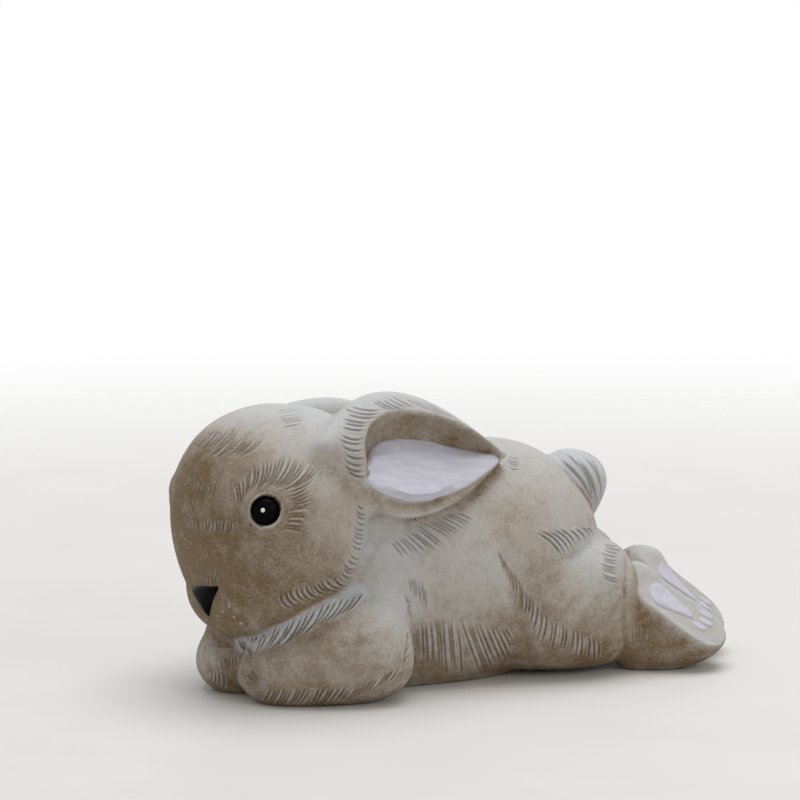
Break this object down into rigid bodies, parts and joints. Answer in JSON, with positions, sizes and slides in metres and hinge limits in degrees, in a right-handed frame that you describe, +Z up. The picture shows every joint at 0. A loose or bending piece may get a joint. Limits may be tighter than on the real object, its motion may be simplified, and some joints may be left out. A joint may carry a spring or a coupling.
{
  "type": "ceramic rabbit figurine",
  "caption": "Lying rabbit figurine in matte grey ceramic, chin on its folded forelegs, ears laid back, hind feet stretched out with painted soles; a free-standing ornament.",
  "frame": {"origin": "middle of the outline seen from above, on the resting plane", "axes": "+X from the nose to the hind feet, +Y to the rabbit's right, +Z up"},
  "size_m": [0.2226, 0.1038, 0.1108],
  "materials": {
    "body": "matte grey with a brown wash in the hollows",
    "lilac_paint": "matte lilac-white paint",
    "bead": "glossy black"
  },
  "bodies": {
    "root": {"trunk": "body", "head": "body", "left_ear": "body", "right_ear": "body", "left_ear_lining": "lilac_paint", "right_ear_lining": "lilac_paint", "left_eye": "bead", "right_eye": "bead", "nose": "bead", "left_foreleg": "body", "right_foreleg": "body", "left_hind_leg": "body", "right_hind_leg": "body", "left_hind_foot": "body", "right_hind_foot": "body", "left_long_pad": "lilac_paint", "left_outer_toe_pad": "lilac_paint", "left_middle_toe_pad": "lilac_paint", "left_inner_toe_pad": "lilac_paint", "right_long_pad": "lilac_paint", "right_outer_toe_pad": "lilac_paint", "right_middle_toe_pad": "lilac_paint", "right_inner_toe_pad": "lilac_paint", "tail": "body"}
  },
  "joints": []
}
